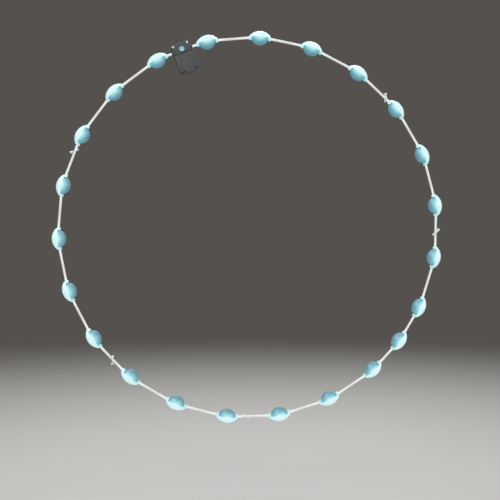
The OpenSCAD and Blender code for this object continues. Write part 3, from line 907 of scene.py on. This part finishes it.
@dataclass
class SpokeTies:
    """Nylon ties that draw the cable to the spokes, each with its head and cut end."""

    layout: RingLayout
    finishes: Finishes
    places: Sequence[tuple[int, float]] = ((1, -0.1), (4, -0.73), (11, -0.63), (15, 0.1), (18, -0.52))
    loop_w: float = 8.04
    loop_h: float = 6.0
    loop_z: float = -1.4
    strap_w: float = 1.8
    strap_t: float = 0.9
    head: float = 3.2
    tail: float = 2.6
    slant: float = 45.0
    edge: float = 0.22
    edge_steps: int = 2
    head_steps: int = 3
    sides: int = 48

    @property
    def shift(self) -> float:
        """Distance of the loop's round ends from its middle."""
        return (self.loop_w - self.loop_h) / 2

    def build_tie(self) -> bpy.types.Object:
        """Models one tie: a rounded strap loop, a head and the cut end through it."""
        tie = Bench.rod("tie", (0, 0, 0), Axis.Y, self.strap_w, self.loop_h / 2, self.sides, "NOTHING")
        for side in (-1, 1):
            Bench.open(tie, Pick.POINTS, lambda point, side=side: point.x * side > NEAR)
            bpy.ops.transform.translate(value=(side * self.shift, 0, 0))
        Bench.wall(tie, self.strap_t, 1.0)
        Bench.ease(tie, self.edge, self.edge_steps, lambda a, b: abs(a.y - b.y) < NEAR
                   and self.outer(a) and self.outer(b))
        half, out = self.strap_w / 2, self.loop_w / 2
        head = Bench.block("head", (out, -self.head / 2, -self.head / 2),
                           (out + self.head, self.head / 2, self.head / 2))
        Bench.ease(head, 2 * self.edge, self.head_steps, lambda a, b: True)
        start = out + self.strap_t
        tail = Bench.block("tail", (start, -half, -self.head / 4),
                           (start + self.strap_t, half, self.head / 2 + self.tail))
        Bench.ease(tail, self.edge, self.edge_steps, lambda a, b: True)
        Bench.combine(tie, Join.ADD, head, tail)
        Bench.smooth(tie)
        return tie

    def outer(self, point: Vector) -> bool:
        """Tells whether a point of the loop lies on its outside."""
        away = max(abs(point.x) - self.shift, 0.0)
        return math.hypot(away, point.z) > self.loop_h / 2 + self.strap_t / 2

    def build(self) -> None:
        """Models one tie and copies it to each of its spokes."""
        pattern = self.build_tie()
        paint = self.finishes.nylon.make()
        for number, (span, share) in enumerate(self.places, 1):
            radius, along = self.layout.chord_r(span), share * self.layout.chord_half(span)
            move = Matrix.Translation((0, along, self.loop_z))
            turn = Matrix.Rotation(math.atan2(along, radius) + math.radians(self.slant), 4, "Z")
            tie = Bench.copy(pattern, f"tie_{number}")
            Bench.settle(tie, self.layout.at(self.layout.span_mid(span), radius) @ move @ turn)
            Bench.hand_over(tie, Body.LIGHT, "tie_nylon", paint, f"spoke_tie_{number}")
        bpy.data.objects.remove(pattern, do_unlink=True)


@dataclass
class BatteryCase:
    """The battery case: its tub, cover, hinged door, push button, spoke clamp and cells."""

    layout: RingLayout
    finishes: Finishes
    half_w: float = 12.5
    hub_x: float = -29.0
    rim_x: float = 9.0
    back_z: float = -5.1
    wall_top: float = 5.6
    door_z: float = 6.3
    top_z: float = 7.9
    seam_x: float = -5.467
    seam_gap: float = 0.2
    corner_r: float = 3.0
    corner_steps: int = 8
    edge: float = 0.6
    edge_steps: int = 3
    seam_edge: float = 0.2
    seam_steps: int = 2
    floor_z: float = -1.3
    well_x: float = -17.1
    well_r: float = 10.3
    bay_x: tuple[float, float] = (-4.8, 7.4)
    bay_half: float = 10.9
    channel_half: float = 7.2
    channel_z: float = -3.1
    spoke_z: float = -3.3
    spoke_r: float = 1.0
    cable_hole_r: float = 2.3
    pin_x: float = -30.9
    pin_z: float = 6.3
    pin_r: float = 0.8
    knuckle_r: float = 1.6
    knuckle_half: float = 5.4
    knuckle_gap: float = 0.2
    side_knuckle: float = 2.8
    web_step: float = 0.15
    tab_x: float = -8.067
    tab_y: float = 9.5
    tab_size: tuple[float, float] = (1.0, 2.4)
    tab_low: float = 4.1
    tab_room: float = 0.3
    pocket_deep: float = 2.1
    notch_r: float = 0.8
    button_x: float = -0.05
    button_r: float = 3.5
    flange_r: float = 4.6
    flange_z: tuple[float, float] = (6.2, 6.8)
    button_top: float = 8.8
    button_gap: float = 0.2
    button_round: float = 0.5
    button_land: float = 0.9
    dish: Sequence[tuple[float, float]] = ((0.5, 0.25), (0.9, 0.15))
    seal_top: float = 7.2
    screw_at: tuple[float, float] = (5.95, 9.45)
    screw_r: float = 0.95
    screw_head_r: float = 1.7
    screw_head_z: float = 6.9
    clamp_x: tuple[float, float] = (-7.6, 6.4)
    clamp_half: float = 7.0
    clamp_z: tuple[float, float] = (-6.1, -3.5)
    clamp_screw: tuple[float, float] = (-0.6, 4.6)
    clamp_hole_r: float = 1.05
    clamp_corner: float = 1.2
    clamp_steps: int = 5
    clamp_edge: float = 0.4
    cell_r: float = 10.0
    cell_t: float = 3.2
    cell_lid: float = 0.8
    cell_z: float = -0.5
    cell_round: float = 0.5
    cell_seam: float = 0.25
    cell_rim: float = 0.6
    cell_face: tuple[float, float] = (0.3, 0.06)
    round_steps: int = 4
    well_sides: int = 96
    button_sides: int = 72
    head_sides: int = 48
    hole_sides: int = 32

    def plate(self, name: str, x: tuple[float, float], z: tuple[float, float],
              rounded: Sequence[float]) -> bpy.types.Object:
        """Models a plate of the case's width, with round upright corners.

        Args:
            name: The piece's name.
            x: Where it starts and ends along the spoke.
            z: Its lowest and highest level.
            rounded: Those of its ends whose corners are round.

        Returns:
            The new plate.
        """
        plate = Bench.block(name, (x[0], -self.half_w, z[0]), (x[1], self.half_w, z[1]))
        Bench.ease(plate, self.corner_r, self.corner_steps,
                   lambda a, b: abs(a.z - b.z) > NEAR and a.x in rounded)
        return plate

    def rim(self, level: float) -> Callable[[Vector, Vector], bool]:
        """Gives a test for the edges that lie at one level."""
        return lambda a, b: abs(a.z - level) < NEAR and abs(b.z - level) < NEAR

    def knuckle(self, start: float, width: float) -> bpy.types.Object:
        """Adds a hinge knuckle from one place along the pin over a width."""
        middle = (self.pin_x, start + width / 2, self.pin_z)
        return Bench.rod("knuckle", middle, Axis.Y, width, self.knuckle_r)

    def build_tub(self) -> bpy.types.Object:
        """Models the tub with its cell well, bay, spoke channel, hinge knuckles and cable holes."""
        ends = (self.hub_x, self.rim_x)
        tub = self.plate("tub", ends, (self.back_z, self.wall_top), ends)
        Bench.ease(tub, self.edge, self.edge_steps, self.rim(self.back_z))
        Bench.ease(tub, self.seam_edge, self.seam_steps, self.rim(self.wall_top))
        start = self.knuckle_half + self.knuckle_gap
        for low in (-start - self.side_knuckle, start):
            high, step = low + self.side_knuckle, self.web_step
            web = Bench.block("web", (self.pin_x, low + step, self.pin_z - self.knuckle_r),
                              (self.hub_x + self.edge, high - step, self.wall_top - step))
            Bench.combine(tub, Join.ADD, web, self.knuckle(low, self.side_knuckle))
        deep = self.top_z - self.floor_z
        reach = self.rim_x - self.hub_x
        middle = (self.hub_x + self.rim_x) / 2
        well = Bench.rod("well", (self.well_x, 0, self.floor_z + deep / 2), Axis.Z, deep, self.well_r,
                         self.well_sides)
        bay = Bench.block("bay", (self.bay_x[0], -self.bay_half, self.floor_z),
                          (self.bay_x[1], self.bay_half, self.top_z))
        channel = Bench.block("channel", (middle - reach, -self.channel_half, self.back_z - deep),
                              (middle + reach, self.channel_half, self.channel_z))
        groove = Bench.rod("groove", (middle, 0, self.spoke_z), Axis.X, 2 * reach, self.spoke_r)
        pin = Bench.rod("pin", (self.pin_x, 0, self.pin_z), Axis.Y, 2 * self.half_w, self.pin_r)
        cable = Bench.rod("cable", (0, 0, 0), Axis.Y, 3 * self.half_w, self.cable_hole_r)
        Bench.combine(tub, Join.CUT, well, bay, channel, groove, pin, cable)
        room_x, room_y = (size / 2 + self.tab_room for size in self.tab_size)
        for side in (-1, 1):
            y = side * self.tab_y
            Bench.combine(tub, Join.CUT, Bench.block(
                "pocket", (self.tab_x - room_x, y - room_y, self.tab_low - self.pocket_deep),
                (self.tab_x + room_x, y + room_y, self.top_z)))
        Bench.smooth(tub)
        return tub

    def build_cover(self) -> bpy.types.Object:
        """Models the cover over the switch, with its button hole and sunk screw holes."""
        start = self.seam_x + self.seam_gap / 2
        cover = self.plate("cover", (start, self.rim_x), (self.wall_top, self.top_z), (self.rim_x,))
        Bench.ease(cover, self.edge, self.edge_steps, self.rim(self.top_z))
        Bench.ease(cover, self.seam_edge, self.seam_steps, self.rim(self.wall_top))
        hole_r = self.button_r + self.button_gap
        hole = Bench.rod("hole", (self.button_x, 0, self.top_z), Axis.Z, 2 * self.top_z, hole_r)
        seat_r = self.flange_r + self.button_gap
        seat = Bench.rod("seat", (self.button_x, 0, self.seal_top - self.top_z / 2), Axis.Z, self.top_z,
                         seat_r)
        Bench.combine(cover, Join.CUT, hole, seat)
        for side in (-1, 1):
            x, y = self.screw_at[0], side * self.screw_at[1]
            shank = Bench.rod("shank", (x, y, self.top_z), Axis.Z, 2 * self.top_z, self.screw_r,
                              self.hole_sides)
            head = Bench.rod("head", (x, y, self.screw_head_z + self.top_z / 2), Axis.Z, self.top_z,
                             self.screw_head_r, self.head_sides)
            Bench.combine(cover, Join.CUT, shank, head)
        Bench.smooth(cover)
        return cover

    def build_door(self) -> bpy.types.Object:
        """Models the door with its knuckle, snap tabs and finger notch."""
        end = self.seam_x - self.seam_gap / 2
        door = self.plate("door", (self.hub_x, end), (self.door_z, self.top_z), (self.hub_x,))
        top = self.rim(self.top_z)
        Bench.ease(door, self.edge, self.edge_steps, top)
        tongue = Bench.block("tongue", (self.pin_x, -self.knuckle_half, self.door_z),
                             (self.hub_x + self.corner_r, self.knuckle_half, self.top_z))
        Bench.ease(tongue, self.edge, self.edge_steps,
                   lambda a, b: top(a, b) and max(abs(p.x - self.pin_x) for p in (a, b)) < NEAR)
        Bench.combine(door, Join.ADD, tongue, self.knuckle(-self.knuckle_half, 2 * self.knuckle_half))
        for side in (-1, 1):
            y, (long, wide) = side * self.tab_y, self.tab_size
            tab = Bench.block("tab", (self.tab_x - long / 2, y - wide / 2, self.tab_low),
                              (self.tab_x + long / 2, y + wide / 2, self.door_z + self.edge))
            Bench.ease(tab, self.seam_edge, self.seam_steps, self.rim(self.tab_low))
            Bench.combine(door, Join.ADD, tab)
        pin = Bench.rod("pin", (self.pin_x, 0, self.pin_z), Axis.Y, 2 * self.half_w, self.pin_r)
        notch = Bench.rod("notch", (end, 0, self.top_z), Axis.Y, 2 * self.knuckle_half, self.notch_r)
        Bench.combine(door, Join.CUT, pin, notch)
        Bench.smooth(door)
        return door

    def build_button(self) -> bpy.types.Object:
        """Models the button: a flange, a stem with a rounded top and a shallow dish for a finger."""
        low, high = self.flange_z
        button = Bench.rod("button", (self.button_x, 0, (low + high) / 2), Axis.Z, high - low,
                           self.flange_r, self.button_sides)
        Bench.open(button, Pick.FACES, lambda middle, normal: normal.z > FACING)
        bpy.ops.mesh.inset(thickness=self.flange_r - self.button_r)
        bpy.ops.mesh.extrude_region_move(TRANSFORM_OT_translate={"value": (0, 0, self.button_top - high)})
        bpy.ops.mesh.inset(thickness=self.button_land)
        for inwards, down in self.dish:
            bpy.ops.mesh.inset(thickness=inwards)
            bpy.ops.transform.translate(value=(0, 0, -down))
        Bench.idle()
        top = self.rim(self.button_top)
        Bench.ease(button, self.button_round, self.round_steps, lambda a, b: top(a, b) and all(
            math.hypot(p.x - self.button_x, p.y) > self.button_r - NEAR for p in (a, b)))
        Bench.smooth(button)
        return button

    def build_clamp(self) -> bpy.types.Object:
        """Models the plate that clamps the case to its spoke, with its groove and screw holes."""
        (x0, x1), (z0, z1) = self.clamp_x, self.clamp_z
        clamp = Bench.block("clamp", (x0, -self.clamp_half, z0), (x1, self.clamp_half, z1))
        Bench.ease(clamp, self.clamp_corner, self.clamp_steps, lambda a, b: abs(a.z - b.z) > NEAR)
        Bench.ease(clamp, self.clamp_edge, self.edge_steps, self.rim(z0))
        groove = Bench.rod("groove", ((x0 + x1) / 2, 0, self.spoke_z), Axis.X, 2 * (x1 - x0),
                           self.spoke_r)
        Bench.combine(clamp, Join.CUT, groove)
        for side in (-1, 1):
            x, y = self.clamp_screw[0], side * self.clamp_screw[1]
            Bench.combine(clamp, Join.CUT, Bench.rod(
                "hole", (x, y, z0), Axis.Z, 4 * (z1 - z0), self.clamp_hole_r, self.hole_sides))
        Bench.smooth(clamp)
        return clamp

    def build_cell(self, name: str, level: float) -> bpy.types.Object:
        """Models a coin cell: a can with a rounded edge, and the smaller lid below it.

        Args:
            name: The cell's name.
            level: Height of the lid's underside.

        Returns:
            The new cell.
        """
        top, seam = level + self.cell_t, level + self.cell_lid
        cell = Bench.rod(name, (self.well_x, 0, (seam + top) / 2), Axis.Z, top - seam, self.cell_r,
                         self.well_sides)
        Bench.ease(cell, self.cell_round, self.round_steps, self.rim(top))
        Bench.ease(cell, self.cell_seam, self.seam_steps, self.rim(seam))
        Bench.open(cell, Pick.FACES, lambda middle, normal: normal.z < -FACING)
        bpy.ops.mesh.inset(thickness=self.cell_lid - self.cell_seam)
        bpy.ops.mesh.extrude_region_move(TRANSFORM_OT_translate={"value": (0, 0, -self.cell_lid)})
        Bench.open(cell, Pick.FACES, lambda middle, normal: normal.z > FACING and middle.z > top - NEAR)
        inwards, down = self.cell_face
        bpy.ops.mesh.inset(thickness=self.cell_rim)
        bpy.ops.mesh.inset(thickness=inwards)
        bpy.ops.transform.translate(value=(0, 0, -down))
        Bench.smooth(cell)
        return cell

    def build(self) -> None:
        """Models the case's pieces, sets them on their spoke and paints them."""
        span = self.layout.case_span
        place = self.layout.at(self.layout.span_mid(span), self.layout.chord_r(span))
        place = place @ Matrix.Rotation(self.layout.lean, 4, "Y")
        dark, steel = self.finishes.case.make(), self.finishes.cell.make()
        upper_z = self.cell_z + self.cell_t
        for piece, body, slot, paint, node in (
            (self.build_tub(), Body.LIGHT, "case", dark, "case_tub"),
            (self.build_cover(), Body.LIGHT, "case", dark, "case_cover"),
            (self.build_door(), Body.DOOR, "case", dark, "battery_door"),
            (self.build_button(), Body.BUTTON, "button", self.finishes.button.make(), "button_cap"),
            (self.build_clamp(), Body.LIGHT, "clamp", self.finishes.clamp.make(), "spoke_clamp"),
            (self.build_cell("lower_cell", self.cell_z), Body.LIGHT, "cell", steel, "coin_cell_1"),
            (self.build_cell("upper_cell", upper_z), Body.LIGHT, "cell", steel, "coin_cell_2"),
        ):
            Bench.settle(piece, place)
            Bench.hand_over(piece, body, slot, paint, node)


@dataclass
class InnerParts:
    """The frame's own nodes that keep their shape: screws, seals, contacts and circuits."""

    finishes: Finishes
    dressed: dict[str, str] = field(default_factory=lambda: {
        "led_boards": "strip_board", "led_chips": "phosphor",
        "cover_screws": "screw", "clamp_screws": "screw", "hinge_pin": "screw",
        "cable_grommets": "seal", "door_gasket": "seal", "button_seal": "seal",
        "door_contact": "contact", "cell_spring": "contact",
        "control_board": "control_board", "driver_chip": "chip", "board_resistors": "chip",
        "switch_body": "chip", "switch_plunger": "plunger"})

    def build(self) -> None:
        """Gives each of these nodes its finish."""
        for node, finish in self.dressed.items():
            self.finishes.dress(node, finish)


@dataclass(frozen=True)
class SoftLight:
    """A square soft light of the studio, turned to the ring's middle."""

    name: str
    place: tuple[float, float, float]
    size: float
    power: float

    def add(self) -> None:
        """Adds the light to the scene."""
        Bench.idle()
        bpy.ops.object.light_add(type="AREA", location=self.place)
        light = bpy.context.object
        light.name = self.name
        light.data.size, light.data.energy = self.size, self.power
        light.rotation_euler = (-Vector(self.place)).to_track_quat("-Z", "Y").to_euler()


@dataclass
class Studio:
    """A pale floor that fades into a grey surrounding, soft lights and the camera."""

    lights: Sequence[SoftLight] = (
        SoftLight("key", (-1.4, -2.0, 1.8), 1.8, 62.0),
        SoftLight("fill", (2.0, -1.8, 0.6), 2.0, 30.0),
        SoftLight("rim", (0.6, 1.9, 1.7), 1.6, 40.0),
        SoftLight("top", (0.0, -0.4, 2.6), 2.2, 26.0))
    pale: Colour = (0.52, 0.52, 0.51)
    surround: Colour = (0.09, 0.083, 0.076)
    fade: tuple[float, float] = (0.1, 1.8)
    floor_z: float = -0.336
    floor_r: float = 14.0
    floor_sides: int = 96
    lens: float = 85.0
    distance: float = 1.53
    azimuth: float = -5.0
    elevation: float = 2.0
    aim: tuple[float, float, float] = (0.0, -0.0104, -0.028)

    def build_floor(self) -> None:
        """Lays a wide floor that is pale under the light and fades into the surrounding grey."""
        Bench.idle()
        bpy.ops.mesh.primitive_circle_add(vertices=self.floor_sides, radius=self.floor_r,
                                          fill_type="NGON", location=(0, 0, self.floor_z))
        floor = Bench.start("studio_floor")
        paint = Paint("studio_floor")
        away = paint.nodes.new("ShaderNodeVectorMath")
        away.operation = "LENGTH"
        paint.feed(paint.place((1.0, 1.0, 0.0)), away.inputs[0])
        fade = paint.nodes.new("ShaderNodeMapRange")
        fade.interpolation_type = "SMOOTHSTEP"
        fade.inputs["From Min"].default_value, fade.inputs["From Max"].default_value = self.fade
        paint.feed(away.outputs["Value"], fade.inputs["Value"])
        black = (0.0, 0.0, 0.0)
        for socket, near, far in (("Base Color", self.pale, black),
                                  ("Emission Color", black, self.surround)):
            tone = paint.ramp(fade.outputs["Result"], ((0.0, near), (1.0, far)))
            paint.feed(tone, paint.shader.inputs[socket])
        paint.set(Roughness=1.0, Specular_IOR_Level=0.0, Emission_Strength=1.0)
        floor.data.materials.append(paint.material)

    def build_lights(self) -> None:
        """Adds the soft lights and an even grey world."""
        for light in self.lights:
            light.add()
        world = bpy.data.worlds.new("studio_world")
        bpy.context.scene.world = world
        world.use_nodes = True
        world.node_tree.nodes["Background"].inputs["Color"].default_value = (*self.surround, 1.0)

    def build_camera(self) -> None:
        """Adds the camera, nearly square to the ring."""
        turn, rise = math.radians(self.azimuth), math.radians(self.elevation)
        away = Vector((math.sin(turn) * math.cos(rise), -math.cos(turn) * math.cos(rise), math.sin(rise)))
        bpy.ops.object.camera_add(location=Vector(self.aim) + away * self.distance)
        camera = bpy.context.object
        camera.rotation_euler = (-away).to_track_quat("-Z", "Y").to_euler()
        camera.data.lens = self.lens
        bpy.context.scene.camera = camera

    def build(self) -> None:
        """Sets the studio up."""
        self.build_floor()
        self.build_lights()
        self.build_camera()
        bpy.context.scene.view_settings.view_transform = "Standard"
        log.info("studio: floor, lights and camera")


def main() -> None:
    """Builds the light's pieces in order, then the studio."""
    logging.basicConfig(level=logging.INFO, format="%(name)s: %(message)s")
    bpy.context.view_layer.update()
    layout, finishes = RingLayout(), Finishes()
    dressed = [kind(layout, finishes) for kind in (LampSet, StringCable, SpokeTies, BatteryCase)]
    for assembly in (*dressed, InnerParts(finishes), Studio()):
        assembly.build()


if __name__ == "__main__":
    main()
